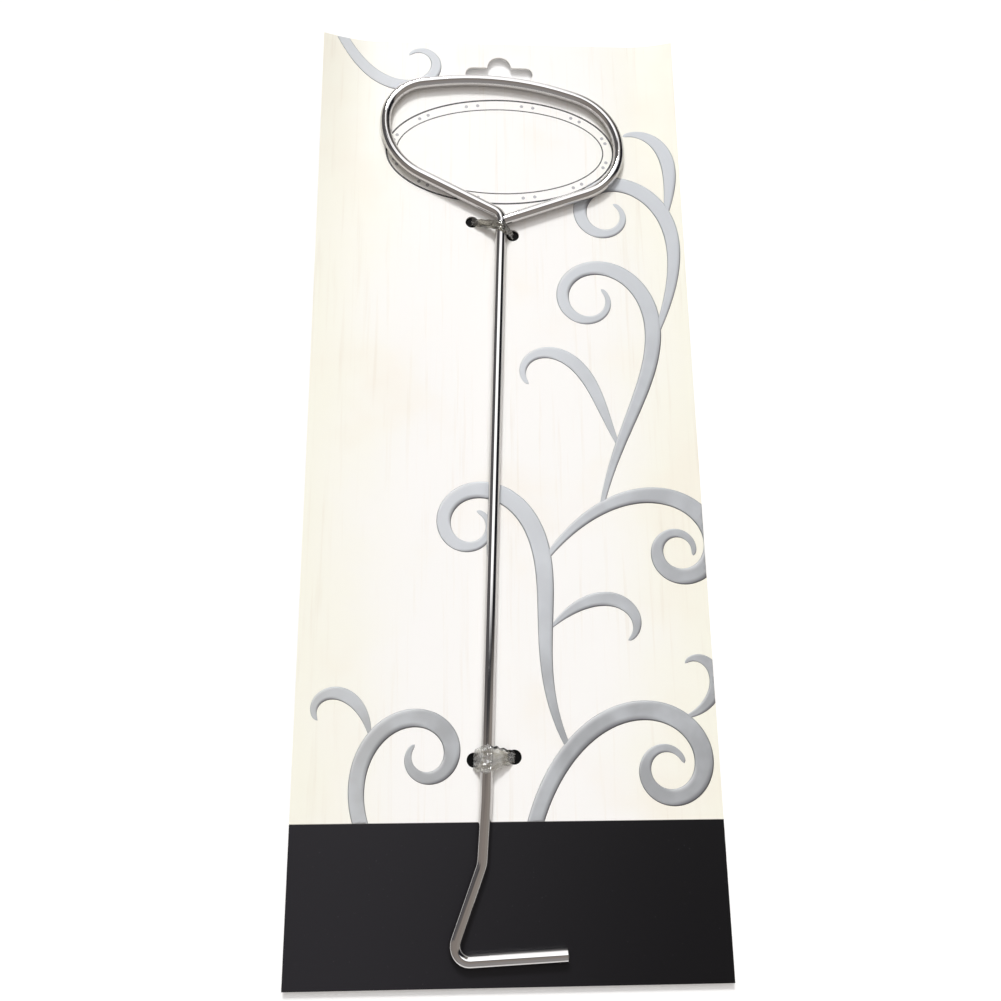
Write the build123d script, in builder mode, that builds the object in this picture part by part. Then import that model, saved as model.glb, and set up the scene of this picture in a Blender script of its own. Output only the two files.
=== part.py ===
from build123d import *
import os
from math import acos, atan2, degrees, hypot, radians, tan

# A wick dipper: one length of round chrome wire, bent to a loop handle at the top and a foot
# at the bottom, held flat on its printed hang card by two clear plastic ties.
# The card's back lies on Z = 0 with its centre at the origin. X runs across the card and
# Y runs up the card to the hang hole.

# Card
card_width = 101.6
card_height = 254.0
card_thickness = 0.6

# Hang hole: a wide slot with a round crown, measured from the card's top edge
slot_width = 19.6
slot_height = 4.2
slot_drop = 10.4
crown_radius = 3.4
crown_rise = 2.3
slot_blend = 0.6

# Dipper wire, and how it lies on the card
wire_diameter = 3.0
seat_clearance = 0.05
lay_angle = 1.95
neck_drop = 58.15

# Loop handle, on the wire's centre line, measured from the neck
loop_left = 33.6
loop_right = 33.0
loop_height = 46.0
neck_radius = 3.0
lower_left_radius = 20.0
upper_left_radius = 12.4
top_radius = 80.0
upper_right_radius = 18.2
lower_right_radius = 15.2
left_shoulder_share = 0.37
left_crown_share = 0.874
right_crown_share = 0.767
right_shoulder_share = 0.252

# Weld, where the loop's free end is let into the shaft just below the neck
weld_drop = 2.2
weld_taper_length = 5.0
weld_end_diameter = 2.7
weld_bead = 0.3

# Shaft and foot, on the wire's centre line
shaft_length = 155.9
lean_length = 13.9
lean_angle = 2.0
lean_radius = 60.0
ankle_radius = 7.0
heel_drop = 20.9
heel_back = 7.0
heel_radius = 3.3
foot_reach = 27.0
foot_rise = 2.1
toe_break = 0.25

# Ties: thin clear bands, round the wire and through two holes of the card
tie_thickness = 0.25
tie_play = 0.1
tie_leg_width = 2.2
tie_hole_diameter = 3.5
bed_play = 0.15
bed_clearance = 0.02

# Upper tie's holes, across from the shaft and down from the neck
upper_left_across = 8.06
upper_left_drop = 1.92
upper_right_across = 3.37
upper_right_drop = 5.6
upper_saddle_width = 2.6

# Lower tie's holes, across from the shaft and up from the shaft's lower end
lower_left_across = 3.03
lower_left_rise = 9.17
lower_right_across = 6.55
lower_right_rise = 10.1
lower_saddle_width = 6.0

# How far a shape runs past what it cuts
overrun = 1.0

# Most of a run that the two bends at its ends may take up
bent_run_share = 0.99

# Places worked out from the sizes above
wire_radius = wire_diameter / 2
wire_height = card_thickness + seat_clearance + wire_radius
neck_y = card_height / 2 - neck_drop
card_back = Plane.XY
lay_back = Plane(origin=(0, neck_y, 0)).rotated((0, 0, -lay_angle))
lay_face = lay_back.offset(card_thickness)
wire_plane = lay_back.offset(wire_height)

upper_left = Vector(-upper_left_across, -upper_left_drop)
upper_right = Vector(upper_right_across, -upper_right_drop)
lower_left = Vector(-lower_left_across, lower_left_rise - shaft_length)
lower_right = Vector(lower_right_across, lower_right_rise - shaft_length)


def tie_outline(left, right, saddle_width, margin):
    """Plan of a tie on the card: narrow at its two holes and wide over the wire."""
    end = tie_thickness + margin
    slope = (right.Y - left.Y) / (right.X - left.X)
    half_leg = tie_leg_width / 2 + margin
    half_saddle = saddle_width / 2 + margin
    left_end = Vector(left.X - end, left.Y - end * slope)
    right_end = Vector(right.X + end, right.Y + end * slope)
    middle = Vector(0, left.Y - left.X * slope)
    with BuildSketch(lay_back) as outline:
        with BuildLine():
            Polyline(
                left_end + Vector(0, half_leg),
                middle + Vector(0, half_saddle),
                right_end + Vector(0, half_leg),
                right_end - Vector(0, half_leg),
                middle - Vector(0, half_saddle),
                left_end - Vector(0, half_leg),
                close=True,
            )
        make_face()
    return outline.sketch


def tie_section(left, right):
    """Section of a tie square to the shaft: over the wire, down both holes and flat behind."""
    outer_radius = wire_radius + tie_play + tie_thickness
    left_side = left.X - tie_thickness / 2
    right_side = right.X + tie_thickness / 2
    lift = wire_height - card_thickness
    left_turn = acos(outer_radius / hypot(left_side, lift))
    right_turn = acos(outer_radius / hypot(right_side, lift))
    start = degrees(atan2(-lift, right_side) + right_turn)
    end = degrees(atan2(lift, -left_side) - left_turn) + 180
    section_plane = Plane(
        origin=lay_back.from_local_coords((0, left.Y, 0)), x_dir=lay_back.x_dir, z_dir=-lay_back.y_dir
    )
    with BuildSketch(section_plane) as section:
        with BuildLine():
            over_wire = CenterArc((0, wire_height), outer_radius, start, end - start)
            Polyline(
                over_wire @ 1,
                (left_side, card_thickness),
                (left_side, 0),
                (right_side, 0),
                (right_side, card_thickness),
                over_wire @ 0,
            )
        make_face()
        offset(amount=-tie_thickness, kind=Kind.INTERSECTION, mode=Mode.SUBTRACT)
    return section.sketch


def fitted_radii(points, radii):
    """Bend radii, both drawn in alike where two bends would overrun the run between them."""
    runs = [after - before for before, after in zip(points, points[1:])]
    turns = [radians(before.get_angle(after)) for before, after in zip(runs, runs[1:])]
    lengths = [0] + [radius * tan(turn / 2) for radius, turn in zip(radii, turns)] + [0]
    rooms = [
        min(1, bent_run_share * run.length / (before + after))
        for run, before, after in zip(runs, lengths, lengths[1:])
    ]
    return [radius * min(before, after) for radius, before, after in zip(radii, rooms, rooms[1:])]


# The dipper's centre line, from the toe up the shaft and once round the loop
neck = Vector(0, 0)
lean_top = Vector(0, -shaft_length)
ankle = lean_top - Vector(lean_length * tan(radians(lean_angle)), lean_length)
heel = ankle - Vector(heel_back, heel_drop)
toe = heel + Vector(foot_reach, foot_rise)
left_shoulder = Vector(-loop_left, loop_height * left_shoulder_share)
left_crown = Vector(-loop_left, loop_height * left_crown_share)
loop_top = Vector(0, loop_height)
right_crown = Vector(loop_right, loop_height * right_crown_share)
right_shoulder = Vector(loop_right, loop_height * right_shoulder_share)
weld = Vector(0, -weld_drop)
branch = (right_shoulder - weld).normalized()
weld_start = weld + branch * weld_taper_length
bends = [
    toe,
    heel,
    ankle,
    lean_top,
    neck,
    left_shoulder,
    left_crown,
    loop_top,
    right_crown,
    right_shoulder,
    weld_start,
]
bend_radii = [
    heel_radius,
    ankle_radius,
    lean_radius,
    neck_radius,
    lower_left_radius,
    upper_left_radius,
    top_radius,
    upper_right_radius,
    lower_right_radius,
]

# Outlines used by both the card and the ties
upper_bed = tie_outline(upper_left, upper_right, upper_saddle_width, bed_play)
lower_bed = tie_outline(lower_left, lower_right, lower_saddle_width, bed_play)

# Card: flat board with its hang hole, the four tie holes and the two shallow beds that the
# ties are pressed into on the back
with BuildPart() as hang_card:
    with BuildSketch(card_back):
        Rectangle(card_width, card_height)
    extrude(amount=card_thickness)
    with BuildSketch(card_back) as hang_hole:
        with Locations((0, card_height / 2 - slot_drop)):
            SlotOverall(slot_width, slot_height)
        with Locations((0, card_height / 2 - slot_drop + crown_rise)):
            Circle(crown_radius)
        crown_corners = hang_hole.vertices().filter_by_position(Axis.X, -crown_radius, crown_radius)
        fillet(crown_corners, slot_blend)
    extrude(amount=card_thickness, mode=Mode.SUBTRACT)
    with Locations(lay_face):
        with Locations(upper_left, upper_right, lower_left, lower_right):
            Hole(tie_hole_diameter / 2)
    extrude(upper_bed, amount=tie_thickness + bed_clearance, mode=Mode.SUBTRACT)
    extrude(lower_bed, amount=tie_thickness + bed_clearance, mode=Mode.SUBTRACT)

hang_card.part.label = "hang_card"

# Dipper: round wire swept along its bends, with the loop's end welded to the neck
with BuildPart() as dipper_wire:
    with BuildLine(wire_plane) as centre_line:
        FilletPolyline(*[tuple(bend) for bend in bends], radius=fitted_radii(bends, bend_radii))
    with BuildSketch(Plane(origin=centre_line.line @ 0, z_dir=centre_line.line % 0)):
        Circle(wire_radius)
    sweep(path=centre_line.line)
    toe_rim = dipper_wire.edges().filter_by(GeomType.CIRCLE).sort_by_distance(centre_line.line @ 0)[0]
    chamfer(toe_rim, toe_break)
    with BuildSketch(Plane(origin=centre_line.line @ 1, z_dir=centre_line.line % 1)):
        Circle(wire_radius)
    weld_taper = degrees(atan2((wire_diameter - weld_end_diameter) / 2, weld_taper_length))
    extrude(amount=weld_taper_length, taper=weld_taper)
    seam = dipper_wire.edges(Select.NEW).filter_by(GeomType.BSPLINE)
    fillet(seam, weld_bead)

dipper_wire.part.label = "dipper_wire"

# Upper tie: a narrow band across the shaft, just under the neck
with BuildPart() as upper_tie:
    extrude(tie_section(upper_left, upper_right), amount=tie_hole_diameter * 2, both=True)
    extrude(
        tie_outline(upper_left, upper_right, upper_saddle_width, 0),
        amount=wire_height + wire_diameter,
        mode=Mode.INTERSECT,
    )

upper_tie.part.label = "upper_tie"

# Lower tie: a band that spreads wide over the shaft
with BuildPart() as lower_tie:
    extrude(tie_section(lower_left, lower_right), amount=lower_saddle_width + overrun, both=True)
    extrude(
        tie_outline(lower_left, lower_right, lower_saddle_width, 0),
        amount=wire_height + wire_diameter,
        mode=Mode.INTERSECT,
    )

lower_tie.part.label = "lower_tie"

# Files
os.makedirs("parts", exist_ok=True)
export_step(hang_card.part, "parts/hang_card.step")
export_step(dipper_wire.part, "parts/dipper_wire.step")
export_step(upper_tie.part, "parts/upper_tie.step")
export_step(lower_tie.part, "parts/lower_tie.step")
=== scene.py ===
import math
import bmesh
import bpy
from mathutils import Matrix, Vector


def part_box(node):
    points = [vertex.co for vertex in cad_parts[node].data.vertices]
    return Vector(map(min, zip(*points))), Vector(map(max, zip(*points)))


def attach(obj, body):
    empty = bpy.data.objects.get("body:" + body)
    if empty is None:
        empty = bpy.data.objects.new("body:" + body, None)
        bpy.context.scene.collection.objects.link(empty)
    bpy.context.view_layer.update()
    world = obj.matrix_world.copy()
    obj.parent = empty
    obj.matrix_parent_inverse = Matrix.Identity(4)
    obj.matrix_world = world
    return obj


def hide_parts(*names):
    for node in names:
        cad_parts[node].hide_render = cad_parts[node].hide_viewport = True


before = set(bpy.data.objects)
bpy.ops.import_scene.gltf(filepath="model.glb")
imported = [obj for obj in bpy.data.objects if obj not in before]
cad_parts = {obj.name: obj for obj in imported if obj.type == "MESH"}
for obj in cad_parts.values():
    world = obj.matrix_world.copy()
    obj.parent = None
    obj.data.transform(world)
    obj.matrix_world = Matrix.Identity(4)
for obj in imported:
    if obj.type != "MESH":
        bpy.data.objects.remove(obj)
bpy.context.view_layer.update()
mm = 0.001


# The hang card is stiff paperboard, printed in cream on its face with a black band along the
# foot, and left plain on its back. The hang hole and four tie holes are punched through it, and
# its two upper corners have lifted a little in handling, on either side of the loop.
card_low, card_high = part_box("hang_card")
card_top = card_high.z
card_half = card_high.x
card_end = card_high.y
card_length = card_end - card_low.y
band_top = card_low.y + 35.3 * mm
band_blur = 0.1 * mm
left_lift = 3.3 * mm
left_margin = 15.5 * mm
right_lift = 2.3 * mm
right_margin = 13.0 * mm
lift_power = 1.7
lift_power_along = 3
fold_step = 0.75 * mm
cross_fold_step = 6 * mm
same_point = 1e-7
flat_angle = math.radians(1)
crease_angle = math.radians(30)
paper_white = (1.0, 0.988, 0.965)
paper_cream = (0.975, 0.962, 0.845)
paper_peach = (0.955, 0.88, 0.76)
paper_brown = (0.8, 0.72, 0.6)
cream_start = 18 * mm
cream_full = card_half + 2 * mm
cream_wander = 30 * mm
print_grain = 0.02 * mm
band_black = (0.018, 0.017, 0.021)
band_deep = (0.0025, 0.0022, 0.0035)
band_speck = (0.2, 0.2, 0.21)
core_light = (0.98, 0.96, 0.92)
core_dark = (0.84, 0.82, 0.78)
back_dark = (0.74, 0.72, 0.68)
back_light = (0.86, 0.84, 0.8)


def lift(x, y):
    """How far the card has risen at a place, which is nothing under the dipper."""
    up = max(0.0, (y - card_low.y) / card_length) ** lift_power_along
    left = max(0.0, (left_margin - card_half - x) / left_margin)
    right = max(0.0, (x - card_half + right_margin) / right_margin)
    return up * (left_lift * left**lift_power + right_lift * right**lift_power)


def add_node(tree, kind, sockets=None, **settings):
    """A shader node. A socket takes a plain value, or the output of another node."""
    made = tree.nodes.new(kind)
    for name, value in settings.items():
        setattr(made, name, value)
    for name, value in (sockets or {}).items():
        if isinstance(value, bpy.types.NodeSocket):
            tree.links.new(value, made.inputs[name])
        else:
            made.inputs[name].default_value = value
    return made


def new_finish(name, colour=(1, 1, 1), **sockets):
    """A material with its Principled shader, which the caller may link into."""
    finish = bpy.data.materials.new(name)
    finish.use_nodes = True
    shader = finish.node_tree.nodes["Principled BSDF"]
    shader.inputs["Base Color"].default_value = (*colour, 1)
    for socket, value in sockets.items():
        shader.inputs[socket.replace("_", " ")].default_value = value
    return finish, finish.node_tree, shader


def own_place(tree):
    """A point's own place, and how far that is across and along the card."""
    place = add_node(tree, "ShaderNodeTexCoord").outputs["Object"]
    across, along, _ = add_node(tree, "ShaderNodeSeparateXYZ", {"Vector": place}).outputs
    return place, across, along


def paint(tree, shader, colour):
    """Gives a finish a worked-out colour."""
    tree.links.new(colour, shader.inputs["Base Color"])


def math_node(tree, operation, first, second=0.0, clamp=False):
    """One arithmetic step on two values."""
    return add_node(
        tree, "ShaderNodeMath", {0: first, 1: second}, operation=operation, use_clamp=clamp
    ).outputs[0]


def blend_colours(tree, factor, first, second):
    """A colour between two, each plain or worked out."""
    mixer = add_node(tree, "ShaderNodeMix", {"Factor": factor}, data_type="RGBA")
    for socket, colour in ((6, first), (7, second)):
        if isinstance(colour, bpy.types.NodeSocket):
            tree.links.new(colour, mixer.inputs[socket])
        else:
            mixer.inputs[socket].default_value = (*colour, 1)
    return mixer.outputs[2]


def ramp(tree, value, low, high, start=0.0, end=1.0):
    """A value drawn out smoothly between two limits."""
    return add_node(
        tree,
        "ShaderNodeMapRange",
        {"Value": value, "From Min": low, "From Max": high, "To Min": start, "To Max": end},
        interpolation_type="SMOOTHSTEP",
    ).outputs[0]


def noise(tree, place, waves, stretch=(1, 1, 1), detail=4.0):
    """Noise of so many waves to the metre, drawn out along an axis by a small stretch."""
    placed = add_node(tree, "ShaderNodeMapping", {"Vector": place, "Scale": stretch}).outputs[0]
    made = add_node(tree, "ShaderNodeTexNoise", {"Vector": placed, "Scale": waves, "Detail": detail})
    return made.outputs["Fac"]


def bumped(tree, shader, height, distance, strength=1.0):
    """Fine relief on a finish, given in metres."""
    bump = add_node(
        tree, "ShaderNodeBump", {"Height": height, "Distance": distance, "Strength": strength}
    )
    tree.links.new(bump.outputs[0], shader.inputs["Normal"])


def printed_face():
    """Cream that is warmer and blotched towards its sides, over a speckled black band."""
    finish, tree, shader = new_finish("card_face_print", Roughness=0.42, Specular_IOR_Level=0.25)
    place, across, along = own_place(tree)
    mottle = math_node(tree, "SUBTRACT", noise(tree, place, waves=34, detail=5.0), 0.5)
    wander = math_node(tree, "MULTIPLY", mottle, cream_wander)
    off_middle = math_node(tree, "ADD", math_node(tree, "ABSOLUTE", across), wander)
    warmth = ramp(tree, off_middle, cream_start, cream_full)
    cream = blend_colours(tree, warmth, paper_white, paper_cream)
    blush = ramp(tree, noise(tree, place, waves=30, detail=3.0), 0.5, 0.72, end=0.38)
    cream = blend_colours(tree, blush, cream, paper_peach)
    streaks = noise(tree, place, waves=900, stretch=(1, 0.035, 1), detail=3.0)
    cream = blend_colours(tree, ramp(tree, streaks, 0.54, 0.78, end=0.24), cream, paper_brown)
    rightward = ramp(tree, across, -card_half, card_half)
    band = blend_colours(tree, rightward, band_black, band_deep)
    specks = ramp(tree, noise(tree, place, waves=2600, detail=1.0), 0.78, 0.84, end=0.25)
    band = blend_colours(tree, specks, band, band_speck)
    in_band = ramp(tree, along, band_top - band_blur, band_top + band_blur, start=1.0, end=0.0)
    paint(tree, shader, blend_colours(tree, in_band, cream, band))
    bumped(tree, shader, streaks, print_grain, strength=0.4)
    return finish


def cut_edge():
    """The board's layers, seen where it is cut or punched."""
    finish, tree, shader = new_finish("board_cut_edge", Roughness=0.9)
    place, _, _ = own_place(tree)
    layers = noise(tree, place, waves=5000, stretch=(0.05, 0.05, 1), detail=2.0)
    paint(tree, shader, blend_colours(tree, layers, core_light, core_dark))
    return finish


def plain_back():
    """Unprinted grey board with a little fibre in it."""
    finish, tree, shader = new_finish("board_back", Roughness=0.85)
    place, _, _ = own_place(tree)
    fibre = noise(tree, place, waves=1800, stretch=(1, 0.3, 1), detail=5.0)
    paint(tree, shader, blend_colours(tree, fibre, back_dark, back_light))
    bumped(tree, shader, fibre, print_grain, strength=0.5)
    return finish


def add_piece(name, mesh, body, slot, *finishes):
    """Puts a finished mesh in the scene with its finishes, on its body. The slot is not used."""
    piece = bpy.data.objects.new(name, mesh)
    bpy.context.scene.collection.objects.link(piece)
    for finish in finishes:
        mesh.materials.append(finish)
    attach(piece, body)
    return piece


def mesh_from(name, shape):
    """Turns a bmesh into a mesh and frees it."""
    mesh = bpy.data.meshes.new(name)
    shape.to_mesh(mesh)
    shape.free()
    return mesh


def everything(shape):
    """All the geometry of a shape, as the cutting tools want it."""
    return shape.verts[:] + shape.edges[:] + shape.faces[:]


def cut_lines(shape, axis, places):
    """Cuts a shape across at each of the places along an axis, so that it can bend there."""
    for at in places:
        point = Vector((0, 0, 0))
        point[axis] = at
        normal = Vector((0, 0, 0))
        normal[axis] = 1
        bmesh.ops.bisect_plane(
            shape, geom=everything(shape), dist=same_point, plane_co=point, plane_no=normal
        )


board = bmesh.new()
board.from_mesh(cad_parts["hang_card"].data)
bmesh.ops.remove_doubles(board, verts=board.verts[:], dist=same_point)
bmesh.ops.dissolve_limit(
    board, angle_limit=flat_angle, verts=board.verts[:], edges=board.edges[:]
)
for side, margin in ((-1, left_margin), (1, right_margin)):
    folds = range(int(margin / fold_step) + 1)
    cut_lines(board, 0, [side * (card_half - margin + k * fold_step) for k in folds])
cross_folds = range(1, int(card_length / cross_fold_step))
cut_lines(board, 1, [card_low.y + k * cross_fold_step for k in cross_folds])
for corner in board.verts:
    corner.co.z += lift(corner.co.x, corner.co.y)
board.normal_update()
for side in board.faces:
    side.smooth = True
    side.material_index = 0 if side.normal.z > 0 else 2
    if abs(side.normal.z) < 0.5:
        side.material_index = 1
for rim in board.edges:
    rim.smooth = rim.calc_face_angle(0.0) < crease_angle
card_mesh = mesh_from("card_board", board)
card_board = add_piece(
    "card_board", card_mesh, "card", "card", printed_face(), cut_edge(), plain_back()
)
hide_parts("hang_card")


# The ornament is scrollwork in silver ink, raised a hair's breadth over the cream, with painted
# shade on the edges of its strokes away from the light and a painted highlight on those towards it.
# One stem climbs from the band through a spiral at each of its joints, and smaller ones fill the
# lower left and upper left corners. They keep clear of holes and oval.
ink_height = 0.026 * mm
ink_raise = 0.009 * mm
ink_order_step = 0.0005 * mm
trim_inset = 0.05 * mm
stem_step = 0.5 * mm
light_across = Vector((-0.6, 0.8))
swell_share = 0.55
tip_slimming = 0.78
tip_power = 1.8
tip_length = 1.4
ink_low = (0.37, 0.38, 0.395)
# The lighter ink tones up the card and to the left are a painted sheen of window glare.
ink_high_glare = (0.64, 0.67, 0.71)
ink_left_glare = (0.50, 0.51, 0.515)
ink_cloud = (0.64, 0.67, 0.70)
ink_pale_glare = (0.76, 0.79, 0.83)
# Painted shade and painted highlight for the strokes' edges away from and towards the light.
ink_painted_shade = (0.14, 0.14, 0.15)
ink_painted_highlight = (0.86, 0.87, 0.88)
ink_high_at = 115 * mm
glare_left_of = 42 * mm
glare_above = -75 * mm
glare_wholly_above = -30 * mm


class Tendril:
    """One printed stroke: its line, its heading along the line, and its widths. Places, lengths
    and widths are in millimetres, headings and bends in degrees and degrees to the millimetre."""

    def __init__(self, start, heading, length, bends, width, root=0.0):
        self.width = width
        self.length = length
        self.root = root
        self.points = []
        self.headings = []
        x, y = start
        steps = round(length * mm / stem_step)
        for step in range(steps + 1):
            share = step / steps
            self.points.append((x, y))
            self.headings.append(heading)
            heading += (bends[0] + (bends[1] - bends[0]) * share**2) * length / steps
            x += math.cos(math.radians(heading)) * length / steps
            y += math.sin(math.radians(heading)) * length / steps

    def branch(self, share, fork, length, bends, width, root=0.0):
        """A stroke that leaves this one part of the way along, turned by the fork's angle."""
        joint = round(share * (len(self.points) - 1))
        return Tendril(self.points[joint], self.headings[joint] + fork, length, bends, width, root)

    def half_width(self, share):
        """Thin at the root, full past the middle, and drawn out to a slender tip."""
        swell = math.sin(math.pi / 2 * min(1.0, share / swell_share))
        half = self.width / 2 * (self.root + (1 - self.root) * swell)
        to_tip = max(0.0, share - swell_share) / (1 - swell_share)
        half *= 1 - tip_slimming * to_tip**tip_power
        left = (1 - share) * self.length
        if left < tip_length:
            half *= math.sqrt(max(0.0, 1 - (1 - left / tip_length) ** 2))
        return half


first = Tendril((6, -93), 74, 98, (-1.1, -13.5), 4.8, root=0.8)
second = first.branch(0.20, 68, 112, (-1.3, 13.5), 4.8, root=0.25)
third = second.branch(0.42, -42, 96, (-1.0, -14.5), 4.8, root=0.25)
fourth = third.branch(0.22, 48, 118, (-0.6, 12.0), 4.6, root=0.25)
fifth = fourth.branch(0.42, -18, 97, (0.5, 12.9), 4.6, root=0.25)
corner = Tendril((-34, -93), 112, 66, (-2.4, -15.0), 4.4, root=0.8)
tendrils = [
    first,
    second,
    third,
    fourth,
    fifth,
    corner,
    first.branch(0.50, 36, 26, (4, 18), 3.2),
    second.branch(0.26, -40, 34, (-1.5, -15), 3.6),
    third.branch(0.50, 40, 30, (3, 14), 3.4),
    fourth.branch(0.15, 44, 48, (-0.5, 14), 3.8, root=0.2),
    fifth.branch(0.40, -34, 36, (0.5, 10), 4.0, root=0.25),
    corner.branch(0.30, 36, 26, (3, 20), 3.2),
    Tendril((-46, 128), -62, 50, (1.0, 16.0), 3.8, root=0.8),
]


def tube_along(name, points, radii, closed=False, sides=3):
    """A mesh tube along points, as thick at each as its radius says."""
    line = bpy.data.curves.new(name, "CURVE")
    line.dimensions = "3D"
    line.bevel_depth = 1.0
    line.bevel_resolution = sides
    line.use_fill_caps = not closed
    spline = line.splines.new("POLY")
    spline.points.add(len(points) - 1)
    spline.use_cyclic_u = closed
    for knot, point, radius in zip(spline.points, points, radii):
        knot.co = (*point, 1)
        knot.radius = radius
    holder = bpy.data.objects.new(name, line)
    tube = bpy.data.meshes.new_from_object(holder)
    bpy.data.objects.remove(holder)
    bpy.data.curves.remove(line)
    return tube


def flattened(shape, thickest, height, above):
    """Presses round strokes to thin ink, and marks which of their sides face the light."""
    shape.normal_update()
    light_facing = shape.verts.layers.float.new("light_facing")
    for point in shape.verts:
        point[light_facing] = point.normal.x * light_across.x + point.normal.y * light_across.y
        point.co.z = point.co.z / thickest * height + above


def lay_on_card(shape):
    """Sets a flat shape down on the card's face, risen corners and all."""
    for point in shape.verts:
        point.co.z += card_top + lift(point.co.x, point.co.y)


def trim(shape, place, outward):
    """Cuts a shape off at a plane and closes the cut."""
    cut = bmesh.ops.bisect_plane(
        shape,
        geom=everything(shape),
        dist=same_point,
        plane_co=place,
        plane_no=outward,
        clear_outer=True,
    )
    rim = [item for item in cut["geom_cut"] if isinstance(item, bmesh.types.BMEdge)]
    bmesh.ops.holes_fill(shape, edges=rim, sides=0)


def product(tree, *factors):
    """Several shares multiplied together."""
    total = factors[0]
    for factor in factors[1:]:
        total = math_node(tree, "MULTIPLY", total, factor)
    return total


def silver_print():
    """Silver ink, darker low on the card and by its right side, with a painted sheen of glare that
    pales it up the card and to the left, and painted shade on one edge and a painted highlight on the
    other.
    """
    finish, tree, shader = new_finish("silver_ink", Roughness=0.5, Specular_IOR_Level=0.3)
    place, across, along = own_place(tree)
    # Painted sheen of glare: the tone pales up the card and towards the left.
    tone = blend_colours(tree, ramp(tree, along, band_top, ink_high_at), ink_low, ink_high_glare)
    tone = blend_colours(tree, ramp(tree, across, 0.0, -card_half), tone, ink_left_glare)
    cloud = ramp(tree, noise(tree, place, waves=90, detail=3.0), 0.35, 0.7, end=0.5)
    tone = blend_colours(tree, cloud, tone, ink_cloud)
    off_right = ramp(tree, across, glare_left_of, 0.0)
    above_band = ramp(tree, along, glare_above, glare_wholly_above)
    tone = blend_colours(tree, product(tree, off_right, above_band, 0.6), tone, ink_pale_glare)
    light_facing = add_node(tree, "ShaderNodeAttribute", attribute_name="light_facing").outputs["Fac"]
    # Painted shade on the edge facing away from the light, painted highlight on the edge facing it.
    tone = blend_colours(tree, ramp(tree, light_facing, -0.3, -0.85, end=0.8), tone, ink_painted_shade)
    tone = blend_colours(tree, ramp(tree, light_facing, 0.4, 0.95, end=0.55), tone, ink_painted_highlight)
    paint(tree, shader, tone)
    return finish


scrollwork = bmesh.new()
thickest = max(tendril.width for tendril in tendrils) / 2 * mm
for order, tendril in enumerate(tendrils):
    steps = len(tendril.points) - 1
    tube = tube_along(
        "tendril",
        [(x * mm, y * mm, 0) for x, y in tendril.points],
        [tendril.half_width(step / steps) * mm for step in range(steps + 1)],
    )
    for knot in tube.vertices:
        knot.co.z -= order * ink_order_step / ink_height * thickest
    scrollwork.from_mesh(tube)
    bpy.data.meshes.remove(tube)
flattened(scrollwork, thickest, ink_height, ink_raise)
trim(scrollwork, Vector((0, band_top, 0)), Vector((0, -1, 0)))
trim(scrollwork, Vector((0, card_end - trim_inset, 0)), Vector((0, 1, 0)))
for side in (1, -1):
    trim(scrollwork, Vector((side * (card_half - trim_inset), 0, 0)), Vector((side, 0, 0)))
lay_on_card(scrollwork)
for side in scrollwork.faces:
    side.smooth = True
add_piece("scrollwork", mesh_from("scrollwork", scrollwork), "card", "card", silver_print())


# The oval under the loop is two fine printed lines with pairs of small grey dots between them,
# and the paper inside it is bare. Its black and grey inks are thinner than the silver and worn.
oval_centre = Vector((0, 90.3 * mm, 0))
outer_oval = Vector((32.3 * mm, 17.1 * mm, 0))
inner_oval = Vector((29.4 * mm, 13.9 * mm, 0))
outer_line_radius = 0.25 * mm
inner_line_radius = 0.17 * mm
oval_knots = 160
dot_pairs = 12
dot_radius = 0.5 * mm
dot_half_spread = 0.055
line_black = (0.035, 0.034, 0.036)
line_worn = (0.2, 0.2, 0.2)
dot_dark = (0.32, 0.32, 0.34)
dot_light = (0.6, 0.6, 0.62)


def line_print():
    """Black ink, worn grey in places."""
    finish, tree, shader = new_finish("line_ink", Roughness=0.5)
    place, _, _ = own_place(tree)
    wear = ramp(tree, noise(tree, place, waves=1500, detail=2.0), 0.5, 0.8, end=0.6)
    paint(tree, shader, blend_colours(tree, wear, line_black, line_worn))
    return finish


def dot_print():
    """Uneven grey ink."""
    finish, tree, shader = new_finish("dot_ink", Roughness=0.5)
    place, _, _ = own_place(tree)
    wear = noise(tree, place, waves=2500, detail=2.0)
    paint(tree, shader, blend_colours(tree, wear, dot_dark, dot_light))
    return finish


def on_oval(half_sizes, angle):
    """A place on an oval about the card's printed frame."""
    return oval_centre + half_sizes * Vector((math.cos(angle), math.sin(angle), 0))


oval_frame = bmesh.new()
for half_sizes, line_radius in ((outer_oval, outer_line_radius), (inner_oval, inner_line_radius)):
    knots = [on_oval(half_sizes, math.tau * k / oval_knots) for k in range(oval_knots)]
    ring = tube_along("oval", knots, [line_radius] * oval_knots, closed=True, sides=2)
    oval_frame.from_mesh(ring)
    bpy.data.meshes.remove(ring)
flattened(oval_frame, outer_line_radius, ink_height, 0)
lay_on_card(oval_frame)
add_piece("oval_frame", mesh_from("oval_frame", oval_frame), "card", "card", line_print())

dots = bmesh.new()
for pair in range(dot_pairs):
    for side in (-1, 1):
        angle = math.tau * (pair + 0.5) / dot_pairs + side * dot_half_spread
        middle = Matrix.Translation(on_oval((outer_oval + inner_oval) / 2, angle))
        bmesh.ops.create_uvsphere(dots, u_segments=12, v_segments=6, radius=dot_radius, matrix=middle)
flattened(dots, dot_radius, ink_height, 0)
lay_on_card(dots)
add_piece("oval_dots", mesh_from("oval_dots", dots), "card", "card", dot_print())


# The dipper is polished, chrome-plated steel wire, bent cold on a jig. The loop's free end is
# welded to the neck. The plate is a little clouded all over by handling.
chrome_grey = (0.64, 0.625, 0.615)
polished = 0.03
clouded = 0.10


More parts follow.
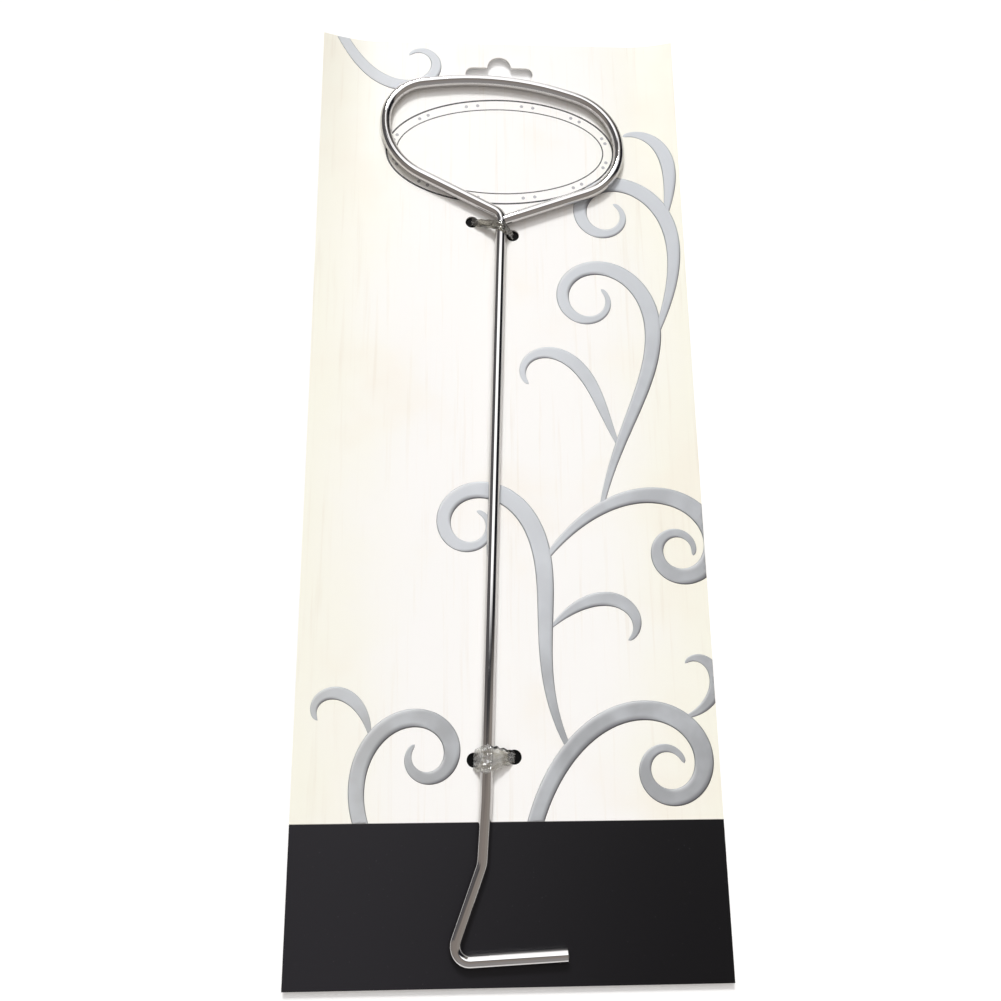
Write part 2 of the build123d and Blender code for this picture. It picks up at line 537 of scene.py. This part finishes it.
def chrome_plate():
    """Thin bright plating over steel."""
    finish, tree, shader = new_finish("chrome_plate", chrome_grey, Metallic=1.0)
    place, _, _ = own_place(tree)
    handling = ramp(tree, noise(tree, place, waves=260, detail=5.0), 0.35, 0.75, polished, clouded)
    tree.links.new(handling, shader.inputs["Roughness"])
    return finish


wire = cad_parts["dipper_wire"].data
wire.materials.clear()
wire.materials.append(chrome_plate())


# Each tie is a strip of thin clear film, put down through two punched holes, pulled tight over
# the wire and gathered behind the card. Pulling it has drawn lengthwise folds into it, widest over
# the wire and bunched in the holes. The film in the holes and gathered behind is painted nearly
# black, as painted shade.
lay_angle = math.radians(-1.95)
lay_turn = Matrix.Rotation(lay_angle, 3, "Z")
lay_origin = Vector((0, 68.85 * mm, 0))
wire_radius = 1.5 * mm
wire_clearance = 0.05 * mm
wire_middle = card_top + wire_clearance + wire_radius
film_thickness = 0.10 * mm
film_ride = wire_radius + 0.24 * mm
film_behind = 0.14 * mm
gathered_below = 0.35 * mm
leg_half = 1.15 * mm
fold_height = 0.14 * mm
leg_fold_height = 0.32 * mm
crown_half = 1.7 * mm
widening_power = 0.8
edge_waver = 0.07
hem_from = 0.72
hem_width = 0.14
hem_right_of = 0.6 * wire_radius
strip_rows = 64
hole_steps = 12
leg_steps = 24
crown_steps = 40
back_steps = 30
lengthwise_share = 0.72
finer_share = 0.12
crumple_share = 0.16
tail_reach = 2.3 * mm
tail_half = 2.2 * mm
tail_thickness = 0.1 * mm
tail_rounding = 0.95 * tail_half
tie_facts = {
    "upper_tie": {
        "left_hole": Vector((-8.06, -1.92)) * mm,
        "right_hole": Vector((3.37, -5.6)) * mm,
        "saddle_half": 1.5 * mm,
        "folds": 1.8,
        "fold_wander": 2.7,
    },
    "lower_tie": {
        "left_hole": Vector((-3.03, -146.73)) * mm,
        "right_hole": Vector((6.55, -145.8)) * mm,
        "saddle_half": 3.2 * mm,
        "folds": 3.8,
        "fold_wander": 3.6,
    },
}
film_clear = (0.96, 0.96, 0.94)
film_cloudy = (0.66, 0.63, 0.55)
# Painted shade: the upper tie's film is drawn darker, as it lies in shade.
upper_shaded_film_clear = (0.42, 0.40, 0.34)
upper_shaded_film_cloudy = (0.10, 0.095, 0.075)
hem_black = (0.02, 0.02, 0.02)
upper_shade_from = -20 * mm
upper_shade_wholly = 20 * mm
crease_depth = 0.12 * mm
# Painted shade: the gathered film in the holes and behind the card is drawn nearly black.
gathered_shade_dark = (0.001, 0.001, 0.001)
gathered_shade_light = (0.006, 0.006, 0.006)


def clear_film():
    """Glossy film with smoky patches and a dark hem, and painted shade darkening it at the upper tie.
    """
    finish, tree, shader = new_finish(
        "clear_film",
        Roughness=0.10,
        Transmission_Weight=0.93,
        IOR=1.9,
        Coat_Weight=1.0,
        Coat_Roughness=0.13,
        Coat_IOR=1.8,
    )
    place, _, along = own_place(tree)
    smoke = noise(tree, place, waves=700, stretch=(0.6, 1, 1), detail=4.0)
    # Painted shade over the upper tie's film.
    thick = ramp(tree, along, upper_shade_from, upper_shade_wholly)
    cloudy = blend_colours(tree, thick, film_cloudy, upper_shaded_film_cloudy)
    clear = blend_colours(tree, thick, film_clear, upper_shaded_film_clear)
    tone = blend_colours(tree, ramp(tree, smoke, 0.36, 0.6), cloudy, clear)
    hem = add_node(tree, "ShaderNodeAttribute", attribute_name="hem").outputs["Fac"]
    paint(tree, shader, blend_colours(tree, hem, tone, hem_black))
    bumped(tree, shader, noise(tree, place, waves=850, detail=1.0), crease_depth, strength=0.6)
    return finish


def shaded_gathered_film():
    """Many layers of film, painted nearly black as painted shade in the dark of a hole or behind the
    card.
    """
    finish, tree, shader = new_finish("shaded_gathered_film", Roughness=0.6, Specular_IOR_Level=0.08)
    place, _, _ = own_place(tree)
    creases = noise(tree, place, waves=1200, detail=3.0)
    paint(tree, shader, blend_colours(tree, creases, gathered_shade_dark, gathered_shade_light))
    return finish


def towards(angle):
    """The way that an angle points, in the plane square to the shaft."""
    return Vector((math.cos(angle), math.sin(angle)))


def touch_angle(foot, side):
    """Where a straight leg of film from a hole's rim meets its round path over the wire."""
    reach = Vector((foot, card_top - wire_middle))
    spread = math.acos(min(1.0, film_ride / reach.length))
    return (math.atan2(reach.y, reach.x) + side * spread) % math.tau


def strip_course(left, right):
    """The strip's line square to the shaft: up the left hole, over the wire, down the right one
    and back behind the card, as points with the way that each faces."""
    course = []

    def run(start, end, facing, steps):
        for step in range(steps):
            course.append((start.lerp(end, step / steps), facing))

    middle = Vector((0, wire_middle))
    left_angle = touch_angle(left, -1)
    right_angle = touch_angle(right, 1)
    left_foot = Vector((left, film_behind))
    left_rim = Vector((left, card_top))
    right_foot = Vector((right, film_behind))
    right_rim = Vector((right, card_top))
    run(left_foot, left_rim, Vector((-1, 0)), hole_steps)
    run(left_rim, middle + film_ride * towards(left_angle), towards(left_angle), leg_steps)
    for step in range(crown_steps + 1):
        angle = left_angle + (right_angle - left_angle) * step / crown_steps
        course.append((middle + film_ride * towards(angle), towards(angle)))
    run(middle + film_ride * towards(right_angle), right_rim, towards(right_angle), leg_steps)
    run(right_rim, right_foot, Vector((1, 0)), hole_steps)
    run(right_foot, left_foot, Vector((0, -1)), back_steps)
    return course


def fold(across, along, folds):
    """Height of the film's folds, from -1 to 1, which wander a little along the strip."""
    drift = 0.9 * math.sin(5.1 * along + 1.3) + 0.5 * math.sin(11.0 * along)
    lengthwise = math.sin(math.pi * folds * across + drift)
    finer = math.sin(math.pi * folds * 1.9 * across - 1.7 * drift + 0.8)
    crumple = math.sin(31 * along + 5 * across) * math.cos(19 * along - 9 * across)
    return lengthwise_share * lengthwise + finer_share * finer + crumple_share * crumple


def clamped(value):
    """A share kept between nothing and all."""
    return min(1.0, max(0.0, value))


def film_strip(left_hole, right_hole, saddle_half, folds, fold_wander):
    """A tie's closed band of film, broad on the wire and bunched in its holes."""
    course = strip_course(left_hole.x, right_hole.x)
    longest_leg = max(abs(left_hole.x), abs(right_hole.x))
    strip = bmesh.new()
    bmesh.ops.create_grid(strip, x_segments=len(course), y_segments=strip_rows, size=0.5)
    hem = strip.verts.layers.float.new("hem")
    for point in strip.verts:
        step = round((point.co.x + 0.5) * len(course)) % len(course)
        across = point.co.y * 2
        (u, z), facing = course[step]
        in_front = z > card_top
        centre = left_hole.lerp(right_hole, clamped((u - left_hole.x) / (right_hole.x - left_hole.x))).y
        near_wire = clamped(1 - abs(u) / longest_leg) if in_front else 0.0
        on_crown = clamped(2 - abs(u) / crown_half) if in_front else 0.0
        half = leg_half + (saddle_half - leg_half) * near_wire**widening_power
        half *= 1 + edge_waver * math.sin(0.9 * step + 2.0 * across)
        height = leg_fold_height + (fold_height - leg_fold_height) * on_crown
        height *= clamped((z - film_behind) / (card_top - film_behind))
        ripple = height * fold(across, step / len(course) * fold_wander, folds)
        place = Vector((u + facing.x * ripple, centre + across * half, z + facing.y * ripple))
        point.co = lay_turn @ place + lay_origin
        point[hem] = clamped((across - hem_from) / hem_width) if u > hem_right_of else 0.0
    bmesh.ops.remove_doubles(strip, verts=strip.verts[:], dist=same_point)
    bmesh.ops.recalc_face_normals(strip, faces=strip.faces[:])
    for side in strip.faces:
        side.smooth = True
        # Film low in the holes and behind the card takes the painted shade.
        side.material_index = 1 if side.calc_center_median().z < gathered_below else 0
    return strip


def flat_tail(left_hole, right_hole):
    """A tie's gathered ends, pressed into a flat tab with round ends behind its two holes."""
    tail = bmesh.new()
    span = right_hole - left_hole
    bmesh.ops.create_cube(tail, size=2)
    sizes = (span.length / 2 + tail_reach, tail_half, tail_thickness / 2)
    bmesh.ops.scale(tail, vec=sizes, verts=tail.verts[:])
    upright = [edge for edge in tail.edges if edge.verts[0].co.z * edge.verts[1].co.z < 0]
    bmesh.ops.bevel(
        tail, geom=upright, offset=tail_rounding, segments=8, profile=0.5, affect="EDGES", material=-1
    )
    centre = lay_turn @ ((left_hole + right_hole) / 2).to_3d() + lay_origin
    centre.z = -tail_thickness / 2
    lean = Matrix.Rotation(math.atan2(span.y, span.x) + lay_angle, 4, "Z")
    bmesh.ops.transform(tail, matrix=Matrix.Translation(centre) @ lean, verts=tail.verts[:])
    return tail


film = clear_film()
gathered = shaded_gathered_film()
for node, facts in tie_facts.items():
    strip = mesh_from(node + "_film", film_strip(**facts))
    tie = add_piece(node + "_film", strip, "card", "clear_tie", film, gathered)
    thickened = tie.modifiers.new("film", "SOLIDIFY")
    thickened.thickness = film_thickness
    thickened.offset = 0
    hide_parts(node)
    tail = mesh_from(node + "_tail", flat_tail(facts["left_hole"], facts["right_hole"]))
    # The tail takes the gathered film's painted shade.
    add_piece(node + "_tail", tail, "card", "clear_tie", gathered)


# The floor is a plain pale sheet, wide enough for every view. It glows a little to the camera,
# to the chrome and through the film, so that it shows white, and it keeps the card's shadow.
floor_half = 1.5
floor_gap = 1.0 * mm
floor_white = (0.95, 0.95, 0.95)
floor_glow = 0.14

floor_sheet = bmesh.new()
bmesh.ops.create_grid(floor_sheet, x_segments=1, y_segments=1, size=floor_half)
floor = bpy.data.objects.new("floor", mesh_from("floor", floor_sheet))
bpy.context.scene.collection.objects.link(floor)
floor_finish, tree, shader = new_finish("pale_floor", floor_white, Roughness=0.9)
rays = add_node(tree, "ShaderNodeLightPath").outputs
seen = math_node(tree, "ADD", rays["Is Camera Ray"], rays["Is Glossy Ray"])
seen = math_node(tree, "ADD", seen, rays["Is Transmission Ray"], clamp=True)
shader.inputs["Emission Color"].default_value = (1, 1, 1, 1)
tree.links.new(math_node(tree, "MULTIPLY", seen, floor_glow), shader.inputs["Emission Strength"])
floor.data.materials.append(floor_finish)
floor.data.transform(Matrix.Translation((0, 0, card_low.z - floor_gap)))


# The room is what the chrome shows: dim and warm, with a bright window beyond the card's head
# and a lit wall farther off. It is painted by direction, with sideways, far and upwards each from
# -1 to 1. Low down, the camera and the film see a pale backdrop in its place.
wall_near = (0.33, 0.29, 0.265)
wall_beyond = (0.06, 0.06, 0.065)
wall_high = (0.22, 0.205, 0.19)
wall_behind = (0.36, 0.345, 0.34)
left_beyond = (0.13, 0.125, 0.13)
right_beyond = (0.02, 0.02, 0.024)
left_near = (0.30, 0.27, 0.25)
right_near = (0.36, 0.33, 0.30)
window_light = (1.9, 1.92, 1.95)
far_light = (1.6, 1.6, 1.63)
skirting_grey = (0.6, 0.6, 0.6)
backdrop_white = (0.96, 0.96, 0.96)

world = bpy.data.worlds.new("soft_room")
bpy.context.scene.world = world
world.use_nodes = True
tree = world.node_tree
facing = add_node(tree, "ShaderNodeTexCoord").outputs["Generated"]
sideways, far, upwards = add_node(tree, "ShaderNodeSeparateXYZ", {"Vector": facing}).outputs
off_middle = math_node(tree, "ABSOLUTE", sideways)
walls = blend_colours(tree, ramp(tree, far, -0.02, 0.1), wall_near, wall_beyond)
walls = blend_colours(tree, ramp(tree, far, 0.52, 0.6), walls, wall_high)
walls = blend_colours(tree, ramp(tree, far, -0.2, -0.7), walls, wall_behind)
rightward = ramp(tree, sideways, -0.2, 0.2)
beyond_sides = blend_colours(tree, rightward, left_beyond, right_beyond)
near_sides = blend_colours(tree, rightward, left_near, right_near)
sides = blend_colours(tree, ramp(tree, far, 0.16, 0.04), beyond_sides, near_sides)
walls = blend_colours(tree, ramp(tree, off_middle, 0.38, 0.62), walls, sides)
window_height = product(tree, ramp(tree, far, 0.12, 0.24), ramp(tree, far, 0.56, 0.5))
window_width = product(tree, ramp(tree, sideways, -0.42, -0.26), ramp(tree, sideways, 0.5, 0.34))
walls = blend_colours(tree, product(tree, window_height, window_width), walls, window_light)
far_width = product(tree, ramp(tree, sideways, -0.15, -0.02), ramp(tree, sideways, 0.26, 0.14))
far_wall = product(tree, ramp(tree, far, 0.40, 0.52), far_width)
walls = blend_colours(tree, far_wall, walls, far_light)
skirting = product(tree, ramp(tree, upwards, 0.2, 0.1), ramp(tree, off_middle, 0.7, 0.4))
walls = blend_colours(tree, skirting, walls, skirting_grey)
rays = add_node(tree, "ShaderNodeLightPath").outputs
seen = math_node(tree, "ADD", rays["Is Camera Ray"], rays["Is Transmission Ray"], clamp=True)
backdrop = product(tree, seen, ramp(tree, upwards, 0.8, 0.5))
horizon = product(tree, rays["Is Glossy Ray"], ramp(tree, upwards, 0.1, 0.04))
pale = math_node(tree, "ADD", backdrop, horizon, clamp=True)
walls = blend_colours(tree, pale, walls, backdrop_white)
tree.links.new(walls, tree.nodes["Background"].inputs["Color"])


def add_sun(name, energy, spread, azimuth, height, in_gloss):
    """A soft sun lamp, with its spread, its turn about the card from +X and its height above it
    all in degrees, which shiny pieces may show or not."""
    sun = bpy.data.lights.new(name, "SUN")
    sun.energy = energy
    sun.angle = math.radians(spread)
    lamp = bpy.data.objects.new(name, sun)
    bpy.context.scene.collection.objects.link(lamp)
    lamp.visible_glossy = in_gloss
    level = math.cos(math.radians(height))
    turn = math.radians(azimuth)
    source = Vector((level * math.cos(turn), level * math.sin(turn), math.sin(math.radians(height))))
    lamp.rotation_euler = source.to_track_quat("Z", "Y").to_euler()


add_sun("window_lamp", energy=1.70, spread=11, azimuth=99, height=45, in_gloss=True)
add_sun("window_glow", energy=0.4, spread=60, azimuth=95, height=50, in_gloss=False)
add_sun("room_fill", energy=0.15, spread=60, azimuth=250, height=60, in_gloss=False)


# The camera stands over the card's lower end, a quarter of a metre up, and looks a little up the
# card's length, as the photograph does.
camera_place = Vector((-13.06, -86.08, 245.25)) * mm
camera_turns = (16.53, -2.63, -0.628)

lens = bpy.data.cameras.new("camera")
lens.sensor_width = 36
lens.lens = 35.964
lens.clip_start = 0.01
lens.clip_end = 20
camera = bpy.data.objects.new("camera", lens)
bpy.context.scene.collection.objects.link(camera)
camera.location = camera_place
camera.rotation_euler = [math.radians(turn) for turn in camera_turns]
bpy.context.scene.camera = camera
bpy.context.scene.view_settings.view_transform = "Standard"
